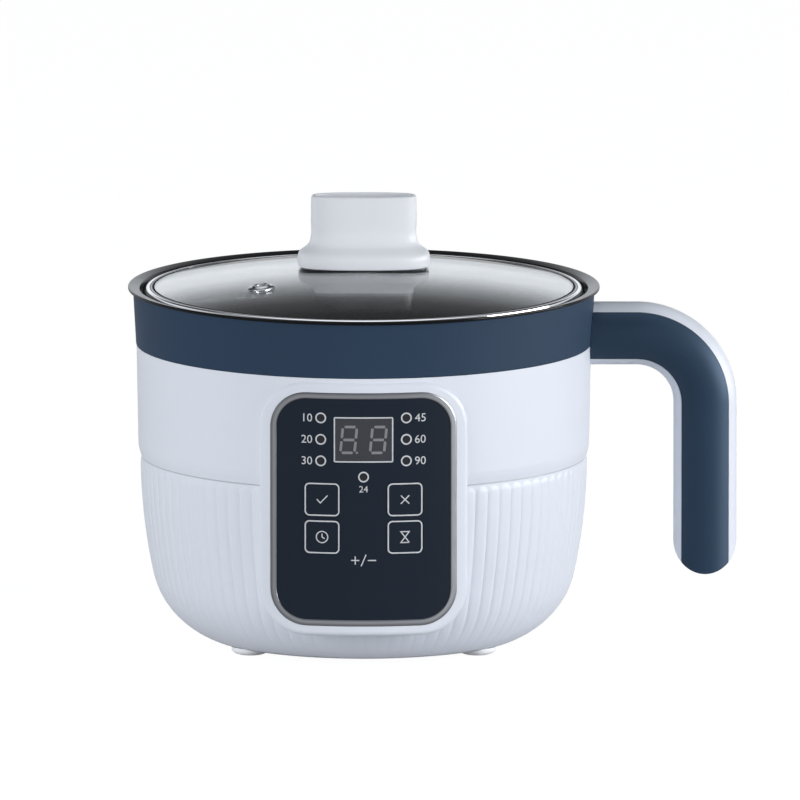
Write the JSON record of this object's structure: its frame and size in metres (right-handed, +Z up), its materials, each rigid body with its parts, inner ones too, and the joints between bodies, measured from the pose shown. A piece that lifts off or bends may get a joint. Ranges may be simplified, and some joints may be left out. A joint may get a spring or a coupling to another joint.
{
  "type": "multicooker",
  "caption": "Electric multicooker: fluted round body, fixed non-stick pot, loose domed glass lid with oval knob and vent, L-shaped side handle and curved panel with push keys.",
  "frame": {"origin": "middle of the whole cooker's footprint, on the surface it stands on; the pot's axis is 31.5 mm to the left of it", "axes": "+X to the handle, -Y to the front with the control panel, +Z up"},
  "size_m": [0.2791, 0.2162, 0.2067],
  "materials": {
    "white_plastic": "white moulded plastic with a soft gloss",
    "white_feet": "white, matte",
    "base_plastic": "white, matte",
    "navy_plastic": "navy, satin",
    "panel_navy": "dark navy, printed",
    "silver_trim": "satin silver plating",
    "display_lens": "smoked lens",
    "display_body": "black moulded plastic",
    "lamp_lens": "milky",
    "nonstick": "black non-stick coating",
    "lid_glass": "clear",
    "steel": "bright steel",
    "aluminium": "cast",
    "silicone": "dark grey, matte",
    "board": "green resin board",
    "inlet_plastic": "black",
    "brass": "bright"
  },
  "bodies": {
    "cooker": {"housing": "white_plastic", "handle_core": "white_plastic", "feet": "white_feet", "base_cover": "base_plastic", "collar_band": "navy_plastic", "handle_cover_front": "navy_plastic", "handle_cover_rear": "navy_plastic", "panel_plate": "panel_navy", "panel_trim": "silver_trim", "display_window": "display_lens", "display_module": "display_body", "key_switches": "display_body", "relay": "display_body", "capacitor": "display_body", "indicator_lenses": "lamp_lens", "indicator_leds": "lamp_lens", "pot": "nonstick", "handle_screws": "steel", "board_screws": "steel", "power_screws": "steel", "base_screws": "steel", "shield_studs": "steel", "shield_nuts": "steel", "heat_shield": "steel", "fuse_clip": "steel", "heater_tube": "steel", "heater_terminals": "steel", "thermal_fuse": "steel", "transformer": "steel", "heater_plate": "aluminium", "temperature_sensor": "aluminium", "rim_seal": "silicone", "control_board": "board", "power_board": "board", "power_inlet": "inlet_plastic", "inlet_pins": "brass"},
    "lid": {"lid_glass": "lid_glass", "lid_rim": "steel", "lid_knob": "white_plastic", "knob_pad": "silicone", "knob_washer": "steel", "knob_screw": "steel", "vent_eyelet": "steel"},
    "key_upper_left": {"key_upper_left": "panel_navy"},
    "key_upper_right": {"key_upper_right": "panel_navy"},
    "key_lower_left": {"key_lower_left": "panel_navy"},
    "key_lower_right": {"key_lower_right": "panel_navy"}
  },
  "joints": [
    {"name": "lid_lift", "type": "slide", "parent": "cooker", "child": "lid", "axis": [0, 0, 1], "range_m": [0, 0.15]},
    {"name": "key_upper_left_press", "type": "slide", "parent": "cooker", "child": "key_upper_left", "axis": [0, 1, 0], "range_m": [0, 0.0005], "stiffness_N_per_m": 200},
    {"name": "key_upper_right_press", "type": "slide", "parent": "cooker", "child": "key_upper_right", "axis": [0, 1, 0], "range_m": [0, 0.0005], "stiffness_N_per_m": 200},
    {"name": "key_lower_left_press", "type": "slide", "parent": "cooker", "child": "key_lower_left", "axis": [0, 1, 0], "range_m": [0, 0.0005], "stiffness_N_per_m": 200},
    {"name": "key_lower_right_press", "type": "slide", "parent": "cooker", "child": "key_lower_right", "axis": [0, 1, 0], "range_m": [0, 0.0005], "stiffness_N_per_m": 200}
  ]
}
